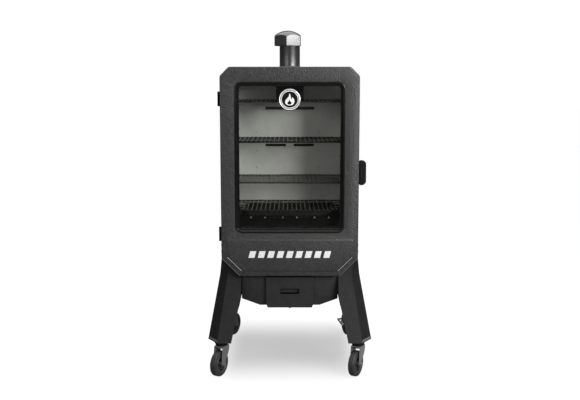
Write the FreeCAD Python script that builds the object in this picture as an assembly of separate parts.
import FreeCAD, Part
import math
import os

# A vertical pellet smoker on four splayed legs with casters.
# Millimetres. +Z up, the glazed door faces -Y, +X is to the right.
# The origin is on the floor, in the middle of the smoker's footprint.

V = FreeCAD.Vector

# ---------------------------------------------------------------- driving dimensions
SHEET = 1.2                       # thickness of the folded steel sheet
LEG_SHEET = 2.5

DOOR_FRONT = -225.0               # outer face of the door
DOOR_DEPTH = 44.0
DOOR_HALF = 292.5
DOOR_LOW, DOOR_HIGH = 419.0, 1308.0
CUT_HIGH, CUT_LOW = 41.0, 81.0    # 45 degree cuts at the top and bottom corners

CAB_FRONT = -179.0
CAB_BACK = 180.0
MID_Y = -2.5                      # plane about which front and rear legs mirror
LINER_GAP = 14.0                  # from the shell's outside to the liner's outside
BACK_WALL = 158.0                 # front face of the bright back panel

WINDOW_HALF, WINDOW_LOW, WINDOW_HIGH = 213.0, 625.0, 1228.0
TRIM_WIDTH = 19.0
WINDOW_RADIUS = 16.0
GLASS_THICK = 5.0
GLASS_FRONT = -217.0

RACK_LEVELS = (1161.0, 989.0, 814.0, 694.5)
RACK_HALF = 262.0
RACK_FRONT, RACK_BACK = -156.0, 140.0
RACK_BAR = 6.0

CHIMNEY_Y = 7.0
CHIMNEY_R = 45.0
CAP_LOW, CAP_HIGH = 1401.0, 1467.0
CAP_R = 64.5                      # across the corners of the six-sided cap, halved
CAP_DOME_R = 88.0
CAP_X = -9.0

BASE_HALF, BASE_SHOULDER, BASE_FLOOR_HALF, BASE_LOW = 209.0, 308.0, 130.0, 279.0

STEM_X, STEM_Y = 292.0, 276.0     # a caster's swivel axis
WHEEL_R, WHEEL_WIDTH = 55.0, 28.0
TRAIL = 22.0                      # from the swivel axis to the wheel's centre
CASTER_TOP = 143.0
AXLE_R = 5.0
KINGPIN_R = 6.0
RUNNING = 0.06                    # radial clearance of a shaft in its bore

AUGER_Z = 388.0
FAN_Y, FAN_Z = 250.0, 312.0
HOPPER_HALF, HOPPER_FRONT, HOPPER_BACK = 198.0, 181.5, 338.0
HOPPER_LOW, HOPPER_HIGH = 266.0, 892.0

HINGE_X, HINGE_Y, HINGE_R = -299.4, -180.0, 6.0
HINGE_PIN_R = 3.5
HINGE_LEVELS = (564.5, 1143.0)    # the bottom of each hinge
HINGE_TALL = 62.0

# (name, side, end, yaw, braked): side -1 is left, end -1 is front, yaw turns the wheel's
# trailing direction away from straight ahead or straight back, towards -X if negative
CASTERS = (
    ("front_left", -1, -1, -27.0, False),
    ("front_right", 1, -1, -28.0, False),
    ("rear_left", -1, 1, 27.0, False),
    ("rear_right", 1, 1, -17.0, True),
)

os.makedirs("parts", exist_ok=True)


# ---------------------------------------------------------------- helpers
def box(x0, x1, y0, y1, z0, z1):
    return Part.makeBox(x1 - x0, y1 - y0, z1 - z0, V(x0, y0, z0))


def rod(radius, start, end):
    axis = V(*end) - V(*start)
    return Part.makeCylinder(radius, axis.Length, V(*start), axis)


def pipe(outer, inner, start, end):
    return rod(outer, start, end).cut(rod(inner, start, end))


def polygon(points):
    return Part.Face(Part.makePolygon([V(*p) for p in points] + [V(*points[0])]))


def prism_y(points_xz, y0, y1):
    return polygon([(x, y0, z) for x, z in points_xz]).extrude(V(0, y1 - y0, 0))


def prism_x(points_yz, x0, x1):
    return polygon([(x0, y, z) for y, z in points_yz]).extrude(V(x1 - x0, 0, 0))


def prism_z(points_xy, z0, z1):
    return polygon([(x, y, z0) for x, y in points_xy]).extrude(V(0, 0, z1 - z0))


def fuse(shapes):
    shapes = list(shapes)
    return shapes[0].multiFuse(shapes[1:]).removeSplitter() if len(shapes) > 1 else shapes[0]


def mirror_x(shape):
    return shape.mirror(V(0, 0, 0), V(1, 0, 0))


def mirror_y(shape):
    return shape.mirror(V(0, MID_Y, 0), V(0, 1, 0))


def turned(shape, degrees, centre, axis=(0, 0, 1)):
    copy = shape.copy()
    copy.rotate(V(*centre), V(*axis), degrees)
    return copy


def export(name, *solids):
    shape = solids[0] if len(solids) == 1 else Part.makeCompound(list(solids))
    shape.exportStep("parts/%s.step" % name)


def cabinet_outline(inset):
    """The outline that the cabinet and its door share, moved inward by inset."""
    shrink = inset * (2.0 - math.sqrt(2.0))
    half, low, high = DOOR_HALF - inset, DOOR_LOW + inset, DOOR_HIGH - inset
    top, bottom = CUT_HIGH - shrink, CUT_LOW - shrink
    return [(-half, low + bottom), (-half + bottom, low), (half - bottom, low),
            (half, low + bottom), (half, high - top), (half - top, high),
            (-half + top, high), (-half, high - top)]


def outline_ring(outer_inset, inner_inset, y0, y1):
    return prism_y(cabinet_outline(outer_inset), y0, y1).cut(
        prism_y(cabinet_outline(inner_inset), y0, y1))


def outline_strips(outer_inset, inner_inset, y0, y1):
    """The same ring as eight flat strips that meet at mitred corners, the lower left one first."""
    outer, inner = cabinet_outline(outer_inset), cabinet_outline(inner_inset)
    strips = []
    for k in range(8):
        j = (k + 1) % 8
        strips.append(prism_y([outer[k], outer[j], inner[j], inner[k]], y0, y1))
    return strips


def quartered(shape, x0, x1, z0, z1):
    """Cuts a wall with an opening into the parts left, right, above and below the opening."""
    far = 2000.0
    parts = [box(-far, x0, -far, far, -far, far), box(x1, far, -far, far, -far, far),
             box(x0, x1, -far, far, z1, far), box(x0, x1, -far, far, -far, z0)]
    return [solid for part in parts for solid in shape.common(part).Solids]


def rounded_block(half, z0, z1, y0, y1, radius):
    block = box(-half, half, y0, y1, z0, z1)
    return block.makeFillet(radius, [e for e in block.Edges if abs(e.tangentAt(e.FirstParameter).y) > 0.99])


def window_block(grow, y0, y1):
    return rounded_block(WINDOW_HALF + grow, WINDOW_LOW - grow, WINDOW_HIGH + grow, y0, y1,
                         WINDOW_RADIUS + grow * 0.6)


# ---------------------------------------------------------------- cabinet
BOTTOM, RIGHT_SIDE, TOP = 1, 3, 5          # places in the list of outline strips


def floor_around(plate, x0, x1, y0, y1):
    """A bottom strip as four plates around the hole over the fire."""
    far = 2000.0
    return [plate.common(area) for area in (
        box(-far, x0, -far, far, 0, far), box(x1, far, -far, far, 0, far),
        box(x0, x1, -far, y0, 0, far), box(x0, x1, y1, far, 0, far))]


def roof_around(plate, hole_r):
    """A top strip as four plates around the chimney's hole."""
    far = 2000.0
    plate = plate.cut(rod(hole_r, (0, CHIMNEY_Y, DOOR_HIGH - 30), (0, CHIMNEY_Y, DOOR_HIGH + 5)))
    return [plate.common(area) for area in (
        box(-far, -hole_r, -far, far, 0, far), box(hole_r, far, -far, far, 0, far),
        box(-hole_r, hole_r, -far, CHIMNEY_Y, 0, far), box(-hole_r, hole_r, CHIMNEY_Y, far, 0, far))]


def cabinet_shell():
    """The folded wrap and its front lip."""
    wrap = outline_strips(0, SHEET, CAB_FRONT, CAB_BACK)
    lip = outline_strips(SHEET, 26, CAB_FRONT, CAB_FRONT + SHEET)
    floor = floor_around(wrap[BOTTOM], -190, 190, CAB_FRONT + 30, CAB_BACK - 30)
    roof = roof_around(wrap[TOP], CHIMNEY_R + 0.3)
    side = wrap[RIGHT_SIDE].cut(probe_hole())
    plain = [strip for k, strip in enumerate(wrap) if k not in (BOTTOM, RIGHT_SIDE, TOP)]
    return plain + floor + roof + [side] + lip


def inner_liner():
    wrap = outline_strips(LINER_GAP, LINER_GAP + 1, CAB_FRONT + SHEET, BACK_WALL)
    floor = floor_around(wrap[BOTTOM], -185, 185, CAB_FRONT + 35, BACK_WALL - 5)
    roof = roof_around(wrap[TOP], CHIMNEY_R + 0.3)
    side = wrap[RIGHT_SIDE].cut(probe_hole())
    plain = [strip for k, strip in enumerate(wrap) if k not in (BOTTOM, RIGHT_SIDE, TOP)]
    return plain + floor + roof + [side]


def recess_tray(half, z0, z1, depth=4.0):
    """A shallow stamped tray set back into the back wall, with one flat floor."""
    y0 = BACK_WALL
    outer = box(-half, half, y0, y0 + depth + 1.2, z0, z1)
    return outer, box(-half + 1.2, half - 1.2, y0 - 1, y0 + depth, z0 + 1.2, z1 - 1.2)


def back_panel():
    plate = prism_y(cabinet_outline(LINER_GAP + 1.0), BACK_WALL, BACK_WALL + 1.2)
    for half, z0, z1 in ((134, 1110, 1147), (124, 938, 968)):
        outer, hollow = recess_tray(half, z0, z1)
        plate = fuse([plate, outer]).cut(hollow)
    slots = [box(-113, 113, BACK_WALL - 1, BACK_WALL + 8, 1116, 1130),
             box(-113, -18, BACK_WALL - 1, BACK_WALL + 8, 946, 958),
             box(18, 113, BACK_WALL - 1, BACK_WALL + 8, 946, 958)]
    for slot in slots:
        plate = plate.cut(slot)
    return plate


def rear_panel():
    return prism_y(cabinet_outline(SHEET), CAB_BACK - SHEET, CAB_BACK)


def rack_rails():
    wall = DOOR_HALF - LINER_GAP - 1.0
    rails = []
    for level in RACK_LEVELS:
        low = level - RACK_BAR / 2.0
        rail = prism_y([(wall, low + 14), (wall - SHEET, low + 14), (wall - SHEET, low), (wall - 20, low),
                        (wall - 20, low - SHEET), (wall, low - SHEET)], CAB_FRONT + 20, BACK_WALL - 4)
        rails += [rail, mirror_x(rail)]
    return rails


def flue_box():
    top = DOOR_HIGH - LINER_GAP - 1.0
    outer = box(-60, 60, CHIMNEY_Y - 57, CHIMNEY_Y + 57, 1168, top)
    inner = box(-58.8, 58.8, CHIMNEY_Y - 55.8, CHIMNEY_Y + 55.8, 1150, top + 1)
    lip = box(-66, 66, CHIMNEY_Y - 63, CHIMNEY_Y + 63, top - SHEET, top).cut(inner)
    return fuse([outer.cut(inner), lip])


def chimney_pipe():
    low, high = DOOR_HIGH - LINER_GAP - 1.0, CAP_LOW + 17.0
    tube = pipe(CHIMNEY_R, CHIMNEY_R - SHEET, (0, CHIMNEY_Y, low), (0, CHIMNEY_Y, high))
    flange = pipe(CHIMNEY_R + 17, CHIMNEY_R - 0.5, (0, CHIMNEY_Y, DOOR_HIGH), (0, CHIMNEY_Y, DOOR_HIGH + 2))
    bar = box(-CHIMNEY_R + 1, CHIMNEY_R - 1, CHIMNEY_Y - 8, CHIMNEY_Y + 8, CAP_LOW - 22, CAP_LOW - 19)
    nut = rod(8, (CAP_X, CHIMNEY_Y, CAP_LOW - 28), (CAP_X, CHIMNEY_Y, CAP_LOW - 19))
    body = fuse([tube, flange, bar, nut])
    return body.cut(rod(4 + RUNNING, (CAP_X, CHIMNEY_Y, CAP_LOW - 40), (CAP_X, CHIMNEY_Y, CAP_LOW)))


def hexagon(radius):
    first = math.radians(-94.0)
    return [(CAP_X + radius * math.cos(first + math.radians(60 * k)),
             CHIMNEY_Y + radius * math.sin(first + math.radians(60 * k))) for k in range(6)]


def chimney_cap():
    centre = V(CAP_X, CHIMNEY_Y, CAP_HIGH - CAP_DOME_R)
    outer = prism_z(hexagon(CAP_R), CAP_LOW, CAP_HIGH + 5).common(Part.makeSphere(CAP_DOME_R, centre))
    inner = prism_z(hexagon(CAP_R - 2), CAP_LOW - 1, CAP_HIGH + 5).common(
        Part.makeSphere(CAP_DOME_R - SHEET, centre))
    stem = rod(4, (CAP_X, CHIMNEY_Y, CAP_LOW - 55), (CAP_X, CHIMNEY_Y, CAP_HIGH - 1))
    return fuse([outer.cut(inner), stem])


# ---------------------------------------------------------------- inside the cabinet
def heat_baffle():
    wall = DOOR_HALF - LINER_GAP - 1.0
    front, back, top = CAB_FRONT + 54, BACK_WALL - 20, 652.0
    floor = box(-wall, wall, front, back, top - SHEET, top)
    flange = box(-wall + 12, wall - 12, front, front + SHEET, top - 34, top + 14)
    for x in (-69, 69):
        flange = flange.cut(prism_y([(x - 34, top + 11), (x - 22, top + 3), (x + 22, top + 3), (x + 34, top + 11)],
                                    front - 1, front + 3))
    rear_flange = box(-wall + 12, wall - 12, back - SHEET, back, top - 20, top)
    return [floor, flange.cut(floor), rear_flange.cut(floor)]


def baffle_rivets():
    front, level = CAB_FRONT + 54, 658.0
    return [rod(4.5, (x, front - 2, level), (x, front, level)) for x in (-170, -108, -31, 31, 108, 170)]


def upright_block(half, y0, y1, z0, z1, radius):
    block = box(-half, half, y0, y1, z0, z1)
    return block.makeFillet(radius, [e for e in block.Edges if abs(e.tangentAt(e.FirstParameter).z) > 0.99])


def water_pan():
    z0, z1 = 652.3, 684.0
    hollow = upright_block(196.8, -103.8, 109.8, z0 + 1.2, z1 + 1, 16.8)
    body = upright_block(198, -105, 111, z0, z1, 18)
    rim = upright_block(205, -112, 118, z1 - 1.5, z1, 22)
    return fuse([body, rim]).cut(hollow)


def cooking_rack(level):
    """A flat wire rack: a square-bar frame, wires front to back and three cross rods."""
    half, y0, y1 = RACK_HALF, RACK_FRONT, RACK_BACK
    frame = box(-half, half, y0, y1, level - 3, level + 3).cut(
        box(-half + RACK_BAR, half - RACK_BAR, y0 + RACK_BAR, y1 - RACK_BAR, level - 4, level + 4))
    pieces = [frame]
    pitch = 2 * half / 27.0
    for k in range(1, 27):
        x = -half + k * pitch
        pieces.append(rod(1.8, (x, y0 + 3, level + 1), (x, y1 - 3, level + 1)))
    for y in (y0 + 74, (y0 + y1) / 2.0, y1 - 74):
        pieces.append(rod(2.2, (-half + 3, y, level - 0.6), (half - 3, y, level - 0.6)))
    return fuse(pieces)


IGNITER_Z = 352.5                 # the igniter lies just over the floor of the burn pot


def burn_pot():
    outer = prism_z([(-55, 20), (55, 20), (55, 120), (-55, 120)], 345, 452)
    inner = prism_z([(-53, 22), (53, 22), (53, 118), (-53, 118)], 347, 453)
    pot = outer.cut(inner)
    pot = pot.cut(rod(30.2, (0, 100, AUGER_Z), (0, 130, AUGER_Z)))
    pot = pot.cut(rod(4.8, (0, 100, IGNITER_Z), (0, 130, IGNITER_Z)))
    for x in (-36, -18, 0, 18, 36):
        pot = pot.cut(rod(4, (x, 10, 370), (x, 30, 370)))
    feet = [box(x - 8, x + 8, 22, 118, 336, 345) for x in (-47, 47)]
    shelf = box(-BASE_HALF + SHEET, BASE_HALF - SHEET, 22, 118, 334.5, 336)
    return fuse([pot, shelf] + feet)


def igniter_rod():
    return fuse([rod(4.4, (0, 90, IGNITER_Z), (0, 176, IGNITER_Z)), rod(5.2, (0, 120.5, IGNITER_Z), (0, 128, IGNITER_Z))])


def auger_tube():
    tube = pipe(30, 28, (0, 118, AUGER_Z), (0, 300, AUGER_Z))
    mouth = box(-22, 22, 205, 280, AUGER_Z, AUGER_Z + 40)
    flange = box(-42, 42, 183, 186, AUGER_Z - 42, AUGER_Z + 42).cut(rod(29, (0, 180, AUGER_Z), (0, 190, AUGER_Z)))
    end = rod(30, (0, 300, AUGER_Z), (0, 303, AUGER_Z)).cut(rod(8 + RUNNING, (0, 299, AUGER_Z), (0, 304, AUGER_Z)))
    return fuse([tube.cut(mouth), flange, end])


def auger_screw():
    """A shaft with a spiral flight, drawn as thin discs turned into short ramps."""
    shaft = rod(8, (0, 124, AUGER_Z), (0, 312, AUGER_Z))
    pieces = [shaft]
    turns, steps, start, lead = 6, 6, 128.0, 28.0
    for k in range(turns * steps):
        angle = 360.0 / steps * k
        y = start + lead * k / steps
        wedge = Part.makeCylinder(26, lead / steps + 0.6, V(0, y, AUGER_Z), V(0, 1, 0), 360.0 / steps + 2)
        pieces.append(turned(wedge, angle, (0, 0, AUGER_Z), (0, 1, 0)))
    return fuse(pieces)


def auger_motor():
    gearbox = box(-34, 34, 304, 326, AUGER_Z - 34, AUGER_Z + 34).cut(
        rod(8 + RUNNING, (0, 303, AUGER_Z), (0, 313, AUGER_Z)))
    motor = box(-30, 30, 304, 330, AUGER_Z + 34, AUGER_Z + 66)
    return fuse([gearbox, motor])


# ---------------------------------------------------------------- base box and drawer
def base_outline(inset):
    slope = (BASE_SHOULDER - BASE_LOW) / (BASE_HALF - BASE_FLOOR_HALF)
    side = BASE_HALF - inset
    floor = BASE_LOW + inset
    shoulder = BASE_SHOULDER + inset * 0.8
    inner_floor = side - (shoulder - floor) / slope
    return [(-side, DOOR_LOW), (-side, shoulder), (-inner_floor, floor), (inner_floor, floor), (side, shoulder),
            (side, DOOR_LOW)]


def firebox():
    """Folded walls between a front plate, which the drawer goes through, and a back plate."""
    front, back = CAB_FRONT, CAB_BACK
    outer, inner = base_outline(0), base_outline(SHEET)
    walls = [prism_y([outer[k], outer[k + 1], inner[k + 1], inner[k]], front + SHEET, back - SHEET) for k in range(5)]
    front_plate = prism_y(outer, front, front + SHEET).cut(box(-97, 97, front - 1, front + 3, 281.5, 335))
    back_plate = prism_y(outer, back - SHEET, back)
    back_plate = back_plate.cut(rod(30.2, (0, back - 5, AUGER_Z), (0, back + 2, AUGER_Z)))
    back_plate = back_plate.cut(box(-20, 20, back - 5, back + 2, FAN_Z - 21, FAN_Z - 2))
    return walls + quartered(front_plate, -97, 97, 281.5, 335) + quartered(back_plate, -20, 20, FAN_Z - 21, FAN_Z - 2)


def drawer_runners():
    low = BASE_LOW + SHEET
    runner = prism_y([(99, low), (99, 331), (84, 331), (84, 329.5), (97.5, 329.5), (97.5, 282.8), (84, 282.8),
                      (84, low)], CAB_FRONT + SHEET, 100)
    return [runner, mirror_x(runner)]


def grease_drawer():
    z0, z1 = 283.0, 327.0
    tray = box(-95, 95, CAB_FRONT - 2, 90, z0, z1).cut(box(-93.5, 93.5, CAB_FRONT - 0.5, 88.5, z0 + SHEET, z1 + 1))
    face_y = DOOR_FRONT + 29.0
    outline = [(-102, 407), (-102, 286), (-96, 272), (96, 272), (102, 286), (102, 407)]
    inner = [(-100.5, 405.5), (-100.5, 286.4), (-95, 273.5), (95, 273.5), (100.5, 286.4), (100.5, 405.5)]
    pan = prism_y(outline, face_y, CAB_FRONT - 0.4).cut(prism_y(inner, face_y + SHEET, CAB_FRONT))
    slot = rounded_block(42, 333, 356.5, face_y - 1, face_y + 3, 6)
    nub = rod(4, (0, face_y + 6, 268.5), (0, face_y + 6, 272.5))
    shelf = box(-95, 95, face_y + 1, CAB_FRONT - 1, z0, z0 + SHEET)
    sides = [box(x, x + SHEET, face_y + 1, CAB_FRONT - 1, z0, z1) for x in (-95, 93.5)]
    return fuse([pan.cut(slot), tray, shelf, nub] + sides)


# ---------------------------------------------------------------- hopper and controls
def hopper_housing():
    """The outer case: a front, a rear, two side walls and a floor."""
    half, front, back, low, high, t = HOPPER_HALF, HOPPER_FRONT, HOPPER_BACK, HOPPER_LOW, HOPPER_HIGH, SHEET
    front_wall = box(-half, half, front, front + t, low, high)
    front_wall = front_wall.cut(rod(30.2, (0, front - 1, AUGER_Z), (0, front + 3, AUGER_Z)))
    front_wall = front_wall.cut(box(-20, 20, front - 1, front + 3, FAN_Z - 21, FAN_Z - 2))
    rear_wall = box(-half, half, back - t, back, low, high)
    rear_wall = rear_wall.cut(box(100, 148, back - 3, back + 1, 330, 366))
    rear_wall = rear_wall.cut(box(-40, 40, back - 3, back + 1, 470, 520))
    for k in range(6):
        rear_wall = rear_wall.cut(box(-150, -90, back - 3, back + 1, 300 + 12 * k, 305 + 12 * k))
    left = box(-half, -half + t, front + t, back - t, low, high)
    right = box(half - t, half, front + t, back - t, low, high).cut(rod(9, (half - 3, 260, 600), (half + 1, 260, 600)))
    floor = box(-half + t, half - t, front + t, back - t, low, low + t)
    return (quartered(front_wall, -20, 20, FAN_Z - 21, FAN_Z - 2) + quartered(rear_wall, -40, 40, 470, 520)
            + [left, right, floor])


def loft(low, high):
    wires = [Part.makePolygon([V(*p) for p in ring] + [V(*ring[0])]) for ring in (low, high)]
    return Part.makeLoft(wires, True, True)


def rectangle(x0, x1, y0, y1, z):
    return [(x0, y0, z), (x1, y0, z), (x1, y1, z), (x0, y1, z)]


def hopper_bin():
    """The pellet bin: straight walls, a funnel, a throat to the auger and a purge chute."""
    y0, y1 = HOPPER_FRONT + 3, HOPPER_BACK - 3
    half, t = HOPPER_HALF - 3, SHEET
    funnel = loft(rectangle(-24, 24, 207, 278, 432), rectangle(-half, half, y0, y1, 600))
    hollow = loft(rectangle(-24 + t, 24 - t, 207 + t, 278 - t, 431.9),
                  rectangle(-half + t, half - t, y0 + t, y1 - t, 600.1))
    chute = box(-40 - t, 40 + t, 285, HOPPER_BACK - SHEET, 470 - t, 520 + t)
    walls = box(-half, half, y0, y1, 600, HOPPER_HIGH - 4).cut(
        box(-half + t, half - t, y0 + t, y1 - t, 599, HOPPER_HIGH))
    throat = box(-24, 24, 207, 278, AUGER_Z + 32, 433)
    body = fuse([funnel, chute, throat]).cut(hollow)
    body = body.cut(box(-40, 40, 270, HOPPER_BACK, 470, 520))
    body = body.cut(box(-24 + t, 24 - t, 207 + t, 278 - t, AUGER_Z, 440))
    return fuse([body, walls])


def hopper_grille():
    """The finger guard: a frame of bars across the hopper, above the funnel."""
    y0, y1, z = HOPPER_FRONT + 4.5, HOPPER_BACK - 4.5, 640.0
    half = HOPPER_HALF - 4.5
    frame = box(-half, half, y0, y1, z - 3, z + 3).cut(box(-half + 6, half - 6, y0 + 6, y1 - 6, z - 4, z + 4))
    bars = [box(x - 1.5, x + 1.5, y0 + 3, y1 - 3, z - 1.5, z + 1.5) for x in range(-180, 181, 20)]
    return fuse([frame] + bars)


HINGE_PLACES = (-140.0, 100.0)     # where the lid's two knuckles begin along X


def hopper_lid():
    half = HOPPER_HALF + 3
    y0, y1 = HOPPER_FRONT + 6, HOPPER_BACK + 3
    low, high = HOPPER_HIGH - 12, HOPPER_HIGH + 3
    pan = box(-half, half, y0, y1, low, high).cut(box(-half + SHEET, half - SHEET, y0 - 1, y1 - SHEET, low - 1, high - SHEET))
    pan = pan.cut(box(-half - 1, half + 1, y0 - 1, y0 + 9, low - 1, HOPPER_HIGH + 0.6))
    for x in HINGE_PLACES:
        pan = pan.cut(box(x - 23, x + 63, y0 - 1, y0 + 9, low, high + 1))
    knuckles = [pipe(5, 3 + RUNNING, (x, y0 + 1, HOPPER_HIGH + 6), (x + 40, y0 + 1, HOPPER_HIGH + 6))
                for x in HINGE_PLACES]
    leaves = [box(x, x + 40, y0 + 1, y0 + 24, high - 0.5, high + 1.5).cut(
        rod(3.5, (x - 1, y0 + 1, HOPPER_HIGH + 6), (x + 41, y0 + 1, HOPPER_HIGH + 6))) for x in HINGE_PLACES]
    grip = box(-60, 60, y1 - 1, y1 + 16, high - 5, high - 2.5)
    return fuse([pan, grip] + knuckles + leaves)


def lid_hinge():
    y = HOPPER_FRONT + 7
    z = HOPPER_HIGH + 6
    pieces = []
    for x in HINGE_PLACES:
        pin = rod(3, (x - 22, y, z), (x + 62, y, z))
        ends = [rod(5, (a, y, z), (a + 20, y, z)) for a in (x - 21, x + 41)]
        feet = [box(a, a + 20, HOPPER_FRONT, y, HOPPER_HIGH, z) for a in (x - 21, x + 41)]
        pieces.append(fuse([pin] + ends + feet))
    return pieces


def purge_door():
    y = HOPPER_BACK
    plate = box(-46, 46, y + 0.5, y + 2.5, 464, 526)
    grip = box(-20, 20, y + 2, y + 14, 464, 466)
    return fuse([plate, grip])


def purge_guides():
    y = HOPPER_BACK
    guide = prism_z([(46.5, y), (50, y), (50, y + 5), (42, y + 5), (42, y + 3), (46.5, y + 3)], 460, 600)
    return [guide, mirror_x(guide)]


PANEL = HOPPER_HALF + 38.0        # the face of the control box, which looks to +X
KNOB_PLACE = (260.0, 632.0)
BUTTON_LEVEL = 672.0
BUTTON_PLACES = (240.0, 280.0)


def control_housing():
    shell = box(HOPPER_HALF, PANEL, 207, 313, 582, 748)
    shell = shell.makeFillet(5, [e for e in shell.Edges if abs(e.CenterOfMass.x - PANEL) < 0.01])
    shell = shell.cut(box(HOPPER_HALF - 1, PANEL - 3, 210, 310, 585, 745))
    shell = shell.cut(rod(4 + RUNNING, (PANEL - 5, *KNOB_PLACE), (PANEL + 1, *KNOB_PLACE)))
    for y in BUTTON_PLACES:
        shell = shell.cut(rod(7.4, (PANEL - 5, y, BUTTON_LEVEL), (PANEL + 1, y, BUTTON_LEVEL)))
    display = box(PANEL, PANEL + 0.8, 232, 288, 694, 722)
    board = box(PANEL - 22, PANEL - 20.5, 211, 309, 600, 730)
    posts = [rod(3, (HOPPER_HALF, y, z), (PANEL - 22, y, z)) for y in (218, 302) for z in (608, 722)]
    return [shell, display, fuse([board] + posts)]


def control_knob():
    y, z = KNOB_PLACE
    body = Part.makeCone(20, 17, 18, V(PANEL + 0.6, y, z), V(1, 0, 0))
    shaft = rod(4, (PANEL - 10, y, z), (PANEL + 1, y, z))
    pointer = box(PANEL + 18, PANEL + 19.4, y - 1, y + 1, z + 4, z + 16)
    return fuse([body, shaft, pointer])


def push_button(y):
    z = BUTTON_LEVEL
    return fuse([rod(7, (PANEL - 6, y, z), (PANEL + 2.5, y, z)), rod(9, (PANEL - 7.5, y, z), (PANEL - 5.5, y, z))])


def power_inlet():
    y = HOPPER_BACK
    block = box(100, 148, y - 24, y + 3, 330, 366).cut(box(107, 141, y - 14, y + 4, 337, 359))
    pins = [box(x, x + 2, y - 16, y - 2, 345, 351) for x in (113, 123, 133)]
    return [block] + pins


FAN_CASE_R, FAN_WIDE = 40.0, 20.0


def fan_housing():
    """A snail housing standing under the auger, its spout into the base box."""
    y, z, t = FAN_Y, FAN_Z, SHEET
    drum = rod(FAN_CASE_R, (-FAN_WIDE, y, z), (FAN_WIDE, y, z))
    hollow = rod(FAN_CASE_R - t, (-FAN_WIDE + t, y, z), (FAN_WIDE - t, y, z))
    spout = box(-FAN_WIDE + 0.5, FAN_WIDE - 0.5, CAB_BACK - SHEET, y, z - 20.5, z - 2.5)
    duct = box(-FAN_WIDE + t + 0.5, FAN_WIDE - t - 0.5, CAB_BACK - 5, y, z - 20.5 + t, z - 2.5 - t)
    body = fuse([drum, spout]).cut(hollow).cut(duct)
    body = body.cut(rod(20, (-FAN_WIDE - 1, y, z), (-FAN_WIDE + 2, y, z)))
    body = body.cut(rod(3 + RUNNING, (FAN_WIDE - 2, y, z), (FAN_WIDE + 1, y, z)))
    motor = rod(20, (FAN_WIDE, y, z), (FAN_WIDE + 32, y, z)).cut(
        rod(3 + RUNNING, (FAN_WIDE - 1, y, z), (FAN_WIDE + 20, y, z)))
    return [body, motor]


def fan_impeller():
    y, z = FAN_Y, FAN_Z
    disc = rod(34, (14, y, z), (15.5, y, z))
    ring = pipe(34, 27, (-15, y, z), (-13.5, y, z))
    shaft = rod(3, (-2, y, z), (38, y, z))
    blades = []
    for k in range(16):
        blade = box(-14, 14.5, y - 0.6, y + 0.6, z + 28, z + 33.5)
        blades.append(turned(blade, 360.0 / 16 * k, (0, y, z), (1, 0, 0)))
    return fuse([disc, ring, shaft] + blades)


PROBE_PORT = (120.0, 950.0)       # Y and Z of the grommet for a meat probe's cable
GROMMET_R, GROMMET_BORE = 8.0, 6.0


def temp_probe():
    wall = DOOR_HALF - LINER_GAP - 1.0
    return fuse([rod(3, (wall - 55, 90, 905), (wall, 90, 905)), rod(8, (wall - 4, 90, 905), (wall, 90, 905))])


def probe_grommet():
    y, z = PROBE_PORT
    inner_wall = DOOR_HALF - LINER_GAP - 1.0
    tube = rod(GROMMET_R, (inner_wall, y, z), (DOOR_HALF + 1, y, z))
    flange = rod(GROMMET_R + 3, (DOOR_HALF, y, z), (DOOR_HALF + 5, y, z))
    return fuse([tube, flange]).cut(rod(GROMMET_BORE, (inner_wall - 1, y, z), (DOOR_HALF + 6, y, z)))


def probe_hole():
    y, z = PROBE_PORT
    return rod(GROMMET_R + 0.1, (DOOR_HALF - LINER_GAP - 5, y, z), (DOOR_HALF + 1, y, z))


# ---------------------------------------------------------------- legs
LEG_LOW, LEG_HIGH = 146.0, 558.0
LEG_CORNER_Z = 497.0              # where the square upper corner begins
LEG_FOLD = (-266.0, CAB_FRONT, 439.0)
LEG_TOE = (-309.0, -309.0, LEG_LOW)
LEG_HEEL = (-352.0, -245.0, LEG_LOW)
LEG_INNER_X, LEG_KNEE_Z, LEG_INNER_TOE_X = -210.5, 329.0, -249.0


def plane_through(a, b, c, inside):
    """A point and the outward normal of the plane through three points."""
    normal = (V(*b) - V(*a)).cross(V(*c) - V(*a)).normalize()
    if normal.dot(V(*inside) - V(*a)) > 0:
        normal = normal * -1.0
    return V(*a), normal


def trimmed(block, planes, inset=0.0):
    """What is left of a block behind every plane, each moved inward by inset."""
    reach = 1500.0
    for point, normal in planes:
        outside = Part.makeBox(reach, reach, reach, V(-reach / 2, -reach / 2, 0))
        outside.Placement = FreeCAD.Placement(point - normal * inset, FreeCAD.Rotation(V(0, 0, 1), normal))
        block = block.cut(outside)
    return block


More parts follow.
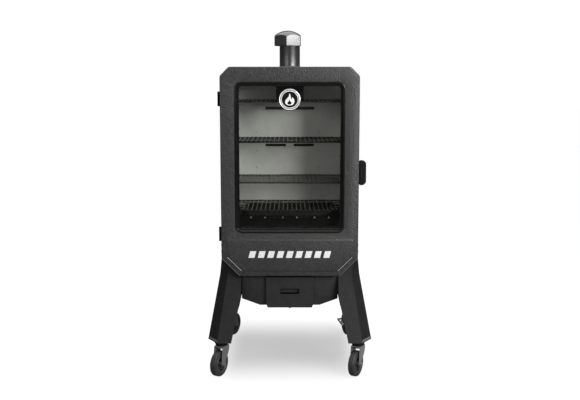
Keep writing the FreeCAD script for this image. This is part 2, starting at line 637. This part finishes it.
def leg():
    """The front left leg: one folded sheet with a front, a diagonal and a side face.

    Above the valley fold the corner is square and hugs the cabinet. Below it the leg splays
    outward and forward. The dart is the small triangle between the two.
    """
    corner = (-DOOR_HALF - LEG_SHEET, CAB_FRONT, LEG_CORNER_Z)
    across = V(*LEG_HEEL) - V(*LEG_TOE)
    down = V(*LEG_TOE) - V(*LEG_FOLD)
    bend = V(*LEG_FOLD) + across * 0.83 + down * 0.09
    inside = (-250.0, -120.0, 330.0)

    def sideways(p):
        return p[0], p[1] + 50, p[2]
    front = plane_through(LEG_FOLD, LEG_TOE, (-200, LEG_FOLD[1], LEG_FOLD[2]), inside)
    diagonal = plane_through(LEG_FOLD, LEG_TOE, LEG_HEEL, inside)
    side = plane_through(bend, LEG_HEEL, sideways(bend), inside)
    upper_front = plane_through(LEG_FOLD, corner, (-200, LEG_FOLD[1], LEG_FOLD[2]), inside)
    upper_side = plane_through(corner, bend, sideways(bend), inside)
    dart = plane_through(corner, LEG_FOLD, bend, inside)

    def envelope(inset):
        block = box(-380, -180, -340, 0, LEG_LOW, LEG_CORNER_Z)
        lower = trimmed(block, [front, diagonal, side], inset)
        upper = trimmed(block, [upper_front, upper_side, dart], inset)
        return lower.fuse(upper)
    sheet = envelope(0.0).cut(envelope(LEG_SHEET))
    keep_front = prism_y([(-400, 100), (LEG_INNER_TOE_X, 100), (LEG_INNER_TOE_X, LEG_LOW), (LEG_INNER_X, LEG_KNEE_Z),
                          (LEG_INNER_X, 600), (-400, 600)], -400, 100)
    keep_side = prism_x([(-400, 100), (-205, 100), (-205, LEG_LOW), (-80, bend.z), (-62, LEG_CORNER_Z), (-62, 600),
                         (-400, 600)], -400, -100)
    sheet = sheet.common(keep_front).common(keep_side)
    sheet = sheet.cut(prism_y(cabinet_outline(0), CAB_FRONT, CAB_BACK))
    sheet = sheet.cut(prism_y(cabinet_outline(-3), DOOR_FRONT - 20, CAB_FRONT))
    sheet = sheet.cut(diagonal_strip(across, 8.0, 9.5, LEG_LOW - 1, LEG_LOW + 13))
    plate = box(corner[0], -DOOR_HALF, CAB_FRONT, -62, LEG_CORNER_Z, LEG_HIGH)
    foot = prism_z([(-308, -307.5), (-250, -307.5), (-250, -236), (-300, -206), (-350, -206), (-350, -246)],
                   LEG_LOW, LEG_LOW + LEG_SHEET)
    return fuse([max(sheet.Solids, key=lambda s: s.Volume), plate, foot, leg_skirt(across), leg_lip(down)]).cut(
        rod(9, (-STEM_X, -STEM_Y, 130), (-STEM_X, -STEM_Y, 160)))


def diagonal_strip(across, outside, inside, z0, z1):
    """A block along the diagonal face's lower edge, from outside it to inside it."""
    along = across.normalize()
    inward = V(-along.y, along.x, 0) * -1.0
    start, end = V(*LEG_TOE) + along * 2, V(*LEG_HEEL) - along * 2
    ring = [start - inward * outside, end - inward * outside, end + inward * inside, start + inward * inside]
    return prism_z([(p.x, p.y) for p in ring], z0, z1)


def leg_skirt(across):
    """The foot plate's turned-down edge, which shows below the diagonal face."""
    return diagonal_strip(across, -3.4, 7.0, LEG_LOW - 1, LEG_LOW + 13.5)


def leg_lip(down):
    """The return flange along the inner edge of the front face."""
    slope = (LEG_TOE[1] - LEG_FOLD[1]) / (LEG_TOE[2] - LEG_FOLD[2])

    def edge(z, back):
        y = LEG_FOLD[1] + slope * (z - LEG_FOLD[2]) + back
        x = LEG_INNER_TOE_X + (LEG_INNER_X - LEG_INNER_TOE_X) * (z - LEG_LOW) / (LEG_KNEE_Z - LEG_LOW)
        return V(x, y, z)
    low, high = LEG_LOW, LEG_KNEE_Z - 6
    ring = [edge(low, 1), edge(high, 1), edge(high, 14), edge(low, 14)]
    return Part.Face(Part.makePolygon(ring + [ring[0]])).extrude(V(-LEG_SHEET, 0, 0))


def hex_head(centre, axis, across=10.0, height=4.0):
    """A flanged hexagon screw head standing on a surface."""
    a = V(*axis).normalize()
    base = V(*centre)
    flange = Part.makeCylinder(across * 0.72, 1.2, base, a)
    side = V(0, 0, 1) if abs(a.z) < 0.9 else V(1, 0, 0)
    other = a.cross(side)
    radius = across / math.sqrt(3.0)
    points = [base + side * (radius * math.cos(math.radians(60 * k))) + other * (radius * math.sin(math.radians(60 * k)))
              for k in range(6)]
    head = Part.Face(Part.makePolygon(points + [points[0]])).extrude(a * height)
    return fuse([flange, head])


def leg_bolts():
    left = [hex_head((-DOOR_HALF - LEG_SHEET, y, z), (-1, 0, 0)) for y in (-150, -90) for z in (512, 542)]
    front_and_rear = left + [mirror_y(b) for b in left]
    return front_and_rear + [mirror_x(b) for b in front_and_rear]


# ---------------------------------------------------------------- casters
def caster_frame(side, end):
    return side * STEM_X, (-STEM_Y if end < 0 else 2 * MID_Y + STEM_Y)


def caster_heading(end, yaw):
    """Degrees by which the caster, drawn trailing towards +Y, is turned about +Z."""
    return -yaw if end > 0 else 180.0 + yaw


def at_caster(shape, side, end, yaw):
    x, y = caster_frame(side, end)
    copy = turned(shape, caster_heading(end, yaw), (0, 0, 0))
    copy.translate(V(x, y, 0))
    return copy


def caster_mounts():
    pieces = []
    for _, side, end, _, _ in CASTERS:
        x, y = caster_frame(side, end)
        plate = rod(29.5, (x, y, CASTER_TOP - 3), (x, y, CASTER_TOP))
        cup = rod(26, (x, y, CASTER_TOP - 12), (x, y, CASTER_TOP - 3)).cut(
            rod(21, (x, y, CASTER_TOP - 13), (x, y, CASTER_TOP - 5)))
        spacer = pipe(16, 9, (x, y, CASTER_TOP), (x, y, LEG_LOW))
        pieces.append(fuse([plate, cup, spacer]).cut(
            rod(KINGPIN_R + RUNNING, (x, y, CASTER_TOP - 20), (x, y, CASTER_TOP + 1))))
    return pieces


FORK_INNER, FORK_OUTER = 19.0, 21.5     # half widths of the fork, inside and outside


def caster_fork():
    """Drawn at the origin's swivel axis, trailing towards +Y."""
    crown_low, crown_high = 119.0, CASTER_TOP - 13.0
    crown = rod(20, (0, 0, crown_low), (0, 0, crown_high))
    pin = rod(KINGPIN_R, (0, 0, crown_high - 1), (0, 0, CASTER_TOP + 1.0))
    head = rod(8.5, (0, 0, CASTER_TOP + 0.4), (0, 0, CASTER_TOP + 2.9))
    outline = [(-28, crown_high - 1), (26, crown_high - 1), (33, 69), (31, 49), (23, 44), (12, 47), (5, 61), (-21, 94),
               (-28, 112)]
    cheek = prism_x(outline, FORK_INNER, FORK_OUTER)
    bridge = box(-FORK_INNER - 1, FORK_INNER + 1, -27, 25, crown_high - 4, crown_high - 1)
    fork = fuse([crown, pin, cheek, mirror_x(cheek), bridge])
    reach = FORK_OUTER
    axle = rod(AXLE_R, (-reach - 2, TRAIL, WHEEL_R), (reach + 2, TRAIL, WHEEL_R))
    stub = rod(4 - RUNNING, (-reach - 9, TRAIL, WHEEL_R), (reach + 9, TRAIL, WHEEL_R))
    nuts = [rod(8.5, (side * reach, TRAIL, WHEEL_R), (side * (reach + 5.5), TRAIL, WHEEL_R)) for side in (-1, 1)]
    return fuse([fork, axle, stub, head] + nuts)


def caster_wheel():
    """A rubber tyre on a hub, with its axle along X at the origin, trailing towards +Y."""
    w = WHEEL_WIDTH / 2.0
    profile = [(-w + 1.5, 38), (-w, 40), (-w + 0.4, 51), (-w + 1.8, 53.6), (-w + 4.5, WHEEL_R), (w - 4.5, WHEEL_R),
               (w - 1.8, 53.6), (w - 0.4, 51), (w, 40), (w - 1.5, 38)]
    points = [V(x, TRAIL, WHEEL_R + r) for x, r in profile]
    tyre = Part.Face(Part.makePolygon(points + [points[0]])).revolve(V(0, TRAIL, WHEEL_R), V(1, 0, 0), 360)
    rim = pipe(38, 32, (-w + 1.5, TRAIL, WHEEL_R), (w - 1.5, TRAIL, WHEEL_R))
    web = rod(33, (-3, TRAIL, WHEEL_R), (3, TRAIL, WHEEL_R))
    boss = rod(13, (-FORK_INNER + 0.4, TRAIL, WHEEL_R), (FORK_INNER - 0.4, TRAIL, WHEEL_R))
    hub = fuse([rim, web, boss]).cut(rod(AXLE_R + RUNNING, (-20, TRAIL, WHEEL_R), (20, TRAIL, WHEEL_R)))
    return [tyre, hub]


def caster_brake():
    """A pedal that straddles the wheel's trailing side and turns on the axle nut."""
    y, z = TRAIL, WHEEL_R
    inner = FORK_OUTER + 6.2
    outline = [(y - 8, z - 8), (y + 8, z - 9), (y + 64, z + 2), (y + 64, z + 10), (y + 40, z + 9), (y - 6, z + 10)]
    arms = [prism_x(outline, x, x + 2).cut(rod(4, (x - 1, y, z), (x + 3, y, z))) for x in (inner, -inner - 2)]
    tread = box(-inner - 2, inner + 2, y + 57, y + 64, z + 3, z + 10)
    return fuse(arms + [tread])


# ---------------------------------------------------------------- door
def door_skin():
    back = DOOR_FRONT + DOOR_DEPTH - SHEET
    block = prism_y(cabinet_outline(0), DOOR_FRONT, back)
    rim = [e for e in block.Edges if abs(e.CenterOfMass.y - DOOR_FRONT) < 0.01]
    block = block.makeFillet(3.0, rim)
    skin = block.cut(prism_y(cabinet_outline(SHEET), DOOR_FRONT + SHEET, back + 1))
    panel = [(-202, 440), (-269.5, 507.5), (-269.5, 579), (269.5, 579), (269.5, 507.5), (202, 440)]
    raised = prism_y(panel, DOOR_FRONT - 2.5, DOOR_FRONT + 0.5)
    edges = [e for e in raised.Edges if abs(e.CenterOfMass.y - (DOOR_FRONT - 2.5)) < 0.01]
    skin = fuse([skin, raised.makeChamfer(2.4, edges)])
    skin = skin.cut(window_block(TRIM_WIDTH - 4, DOOR_FRONT - 5, DOOR_FRONT + 10))
    edge = TRIM_WIDTH - 4 + 1.0
    return quartered(skin, -WINDOW_HALF - edge, WINDOW_HALF + edge, WINDOW_LOW - edge, WINDOW_HIGH + edge)


def window_trim():
    """The glossy black bead around the glass, with a recessed inner band."""
    bead = window_block(TRIM_WIDTH, DOOR_FRONT - 3.5, DOOR_FRONT).cut(
        window_block(9, DOOR_FRONT - 5, DOOR_FRONT + 1))
    edges = [e for e in bead.Edges if abs(e.CenterOfMass.y - (DOOR_FRONT - 3.5)) < 0.01]
    bead = bead.makeChamfer(1.8, edges)
    throat = window_block(TRIM_WIDTH - 4.2, DOOR_FRONT, GLASS_FRONT).cut(
        window_block(9, DOOR_FRONT - 1, GLASS_FRONT + 1))
    band = window_block(10, GLASS_FRONT - 2.5, GLASS_FRONT).cut(window_block(0, GLASS_FRONT - 5, GLASS_FRONT + 1))
    return fuse([bead, throat, band])


def door_glass():
    return window_block(13, GLASS_FRONT, GLASS_FRONT + GLASS_THICK)


def door_liner():
    back = DOOR_FRONT + DOOR_DEPTH
    plate = prism_y(cabinet_outline(0.5), back - SHEET, back)
    throat = window_block(13, GLASS_FRONT + GLASS_THICK, back)
    tube = throat.cut(window_block(11.5, GLASS_FRONT, back + 1))
    seat = window_block(13, GLASS_FRONT + GLASS_THICK, GLASS_FRONT + GLASS_THICK + SHEET).cut(
        window_block(3, GLASS_FRONT, back + 1))
    return fuse([plate.cut(window_block(12, back - 3, back + 1)), tube, seat])


def door_gasket():
    back = DOOR_FRONT + DOOR_DEPTH
    return outline_ring(9, 21, back, back + 1.7)


def door_badge():
    z = 1172.5
    front = GLASS_FRONT
    backing = rod(47.5, (0, front - 4, z), (0, front, z))
    plate = rod(45, (0, front - 6.5, z), (0, front - 4, z))
    ring = pipe(45, 40, (0, front - 8.5, z), (0, front - 6.5, z))
    flame = prism_y([(-12, z - 20), (12, z - 20), (18, z - 4), (8, z + 8), (2, z + 24), (-8, z + 10), (-17, z - 2)],
                    front - 8.5, front - 6.5)
    return [backing, fuse([plate, ring, flame])]


def trim_bars():
    """A row of slanted bright bars across the raised panel."""
    bars = []
    for k in range(9):
        x = (k - 4) * 40.0
        bars.append(prism_y([(x - 17, 500), (x + 9, 500), (x + 17, 529), (x - 9, 529)], DOOR_FRONT - 4.5, DOOR_FRONT - 2.5))
    return bars


def hinge_split(low):
    """Heights at which a hinge's barrel is cut: fixed knuckle, moving knuckle, pin head."""
    return low, low + HINGE_TALL * 0.60, low + HINGE_TALL * 0.88, low + HINGE_TALL


def cabinet_hinges():
    pieces = []
    for low in HINGE_LEVELS:
        z0, z1, z2, z3 = hinge_split(low)
        barrel = rod(HINGE_R, (HINGE_X, HINGE_Y, z0), (HINGE_X, HINGE_Y, z1 - 0.5))
        leaf = box(-DOOR_HALF - 2.5, -DOOR_HALF, CAB_FRONT + 1, CAB_FRONT + 34, z0, z1 - 0.5)
        web = box(HINGE_X, -DOOR_HALF - 0.5, HINGE_Y + 1.5, HINGE_Y + 5.5, z0, z1 - 0.5)
        pin = rod(HINGE_PIN_R, (HINGE_X, HINGE_Y, z0 + 1), (HINGE_X, HINGE_Y, z2 + 2))
        head = rod(HINGE_R, (HINGE_X, HINGE_Y, z2 + 0.5), (HINGE_X, HINGE_Y, z3))
        screws = [hex_head((-DOOR_HALF - 2.5, CAB_FRONT + 22, z), (-1, 0, 0), 7, 3) for z in (z0 + 9, z0 + 27)]
        pieces.append(fuse([barrel, leaf, web, pin, head] + screws))
    return pieces


def door_hinges():
    pieces = []
    for low in HINGE_LEVELS:
        z0, z1, z2, z3 = hinge_split(low)
        barrel = rod(HINGE_R, (HINGE_X, HINGE_Y, z1), (HINGE_X, HINGE_Y, z2))
        leaf = box(-DOOR_HALF - 2.5, -DOOR_HALF, DOOR_FRONT + 6, HINGE_Y - 3, z1, z2)
        web = box(HINGE_X, -DOOR_HALF - 0.5, HINGE_Y - 5.5, HINGE_Y - 1.5, z1, z2)
        body = fuse([barrel, leaf, web]).cut(rod(HINGE_PIN_R + RUNNING, (HINGE_X, HINGE_Y, z0), (HINGE_X, HINGE_Y, z3)))
        pieces.append(body)
    return pieces


LATCH_X, LATCH_Y = 300.0, -207.0
LATCH_LOW, LATCH_HIGH = 811.0, 917.0
LATCH_THICK = 9.0


def latch_base():
    """Two ears on the door's edge, with the pin on which the paddle turns."""
    plate = box(DOOR_HALF, DOOR_HALF + 1.2, -216, -186, 825, 903)
    ears = [box(DOOR_HALF, LATCH_X + 4, LATCH_Y - 6, LATCH_Y + 6, z, z + 3) for z in (832, 893)]
    pin = rod(3, (LATCH_X, LATCH_Y, 830), (LATCH_X, LATCH_Y, 898))
    return fuse([plate, pin] + ears)


def latch_paddle():
    """The flat paddle, the sleeve that turns on the pin and the arm that ends beside the keeper."""
    front, back = LATCH_Y - LATCH_THICK / 2.0, LATCH_Y + LATCH_THICK / 2.0
    paddle = box(LATCH_X - 4, 323.5, front, back, LATCH_LOW, LATCH_HIGH)
    round_edges = [e for e in paddle.Edges
                   if abs(e.tangentAt(e.FirstParameter).y) > 0.99 and e.CenterOfMass.x > 320]
    paddle = paddle.makeFillet(18.0, round_edges)
    notches = [box(LATCH_X - 6, LATCH_X + 7, front - 1, back + 1, z - 0.7, z + 3.7) for z in (832, 893)]
    sleeve = rod(5.5, (LATCH_X, LATCH_Y, 836), (LATCH_X, LATCH_Y, 892.5))
    arm = box(299.6, 304, LATCH_Y, -164, 848, 880)
    hook = box(298.4, 304, -164, -152, 848, 880)
    body = fuse([paddle.cut(fuse(notches)), sleeve, arm, hook])
    return body.cut(rod(3 + RUNNING, (LATCH_X, LATCH_Y, 800), (LATCH_X, LATCH_Y, 920)))


def latch_keeper():
    keeper = prism_z([(DOOR_HALF, -176), (DOOR_HALF + 5.5, -172), (DOOR_HALF + 5.5, -163), (DOOR_HALF, -163)], 846, 882)
    foot = box(DOOR_HALF, DOOR_HALF + 2, -176, -130, 846, 882)
    screws = [hex_head((DOOR_HALF + 2, -140, z), (1, 0, 0), 7, 3) for z in (855, 873)]
    return fuse([keeper, foot] + screws)


# ---------------------------------------------------------------- write the parts
export("cabinet_shell", *cabinet_shell())
export("inner_liner", *inner_liner(), *rack_rails())
export("back_panel", back_panel())
export("rear_panel", rear_panel())
export("flue_box", flue_box())
export("chimney_pipe", chimney_pipe())
export("chimney_cap", chimney_cap())
export("heat_baffle", *heat_baffle(), *baffle_rivets())
export("water_pan", water_pan())
for number, level in enumerate(RACK_LEVELS, 1):
    export("cooking_rack_%d" % number, cooking_rack(level))
export("burn_pot", burn_pot())
export("igniter_rod", igniter_rod())
export("auger_tube", auger_tube())
export("auger_screw", auger_screw())
export("auger_motor", auger_motor())
export("fan_housing", *fan_housing())
export("fan_impeller", fan_impeller())
export("firebox", *firebox(), *drawer_runners())
export("grease_drawer", grease_drawer())
export("hopper_housing", *hopper_housing(), *purge_guides())
export("hopper_bin", hopper_bin())
export("hopper_grille", hopper_grille())
export("hopper_lid", hopper_lid())
export("lid_hinge", *lid_hinge())
export("purge_door", purge_door())
export("control_housing", *control_housing())
export("control_knob", control_knob())
export("power_button", push_button(BUTTON_PLACES[0]))
export("prime_button", push_button(BUTTON_PLACES[1]))
export("power_inlet", *power_inlet())
export("temp_probe", temp_probe(), probe_grommet())

front_left = leg()
rear_left = mirror_y(front_left)
export("front_legs", front_left, mirror_x(front_left))
export("rear_legs", rear_left, mirror_x(rear_left))
export("leg_bolts", *leg_bolts())
export("caster_mounts", *caster_mounts())

fork, wheel, brake = caster_fork(), caster_wheel(), caster_brake()
for name, side, end, yaw, braked in CASTERS:
    export("caster_fork_" + name, at_caster(fork, side, end, yaw))
    export("caster_wheel_" + name, *[at_caster(part, side, end, yaw) for part in wheel])
    if braked:
        export("caster_brake_" + name, at_caster(brake, side, end, yaw))

export("door_skin", *door_skin())
export("window_trim", window_trim())
export("door_glass", door_glass())
export("door_liner", door_liner())
export("door_gasket", door_gasket())
export("door_badge", *door_badge())
export("trim_bars", *trim_bars())
export("door_hinges", *door_hinges())
export("cabinet_hinges", *cabinet_hinges())
export("latch_base", latch_base())
export("latch_paddle", latch_paddle())
export("latch_keeper", latch_keeper())
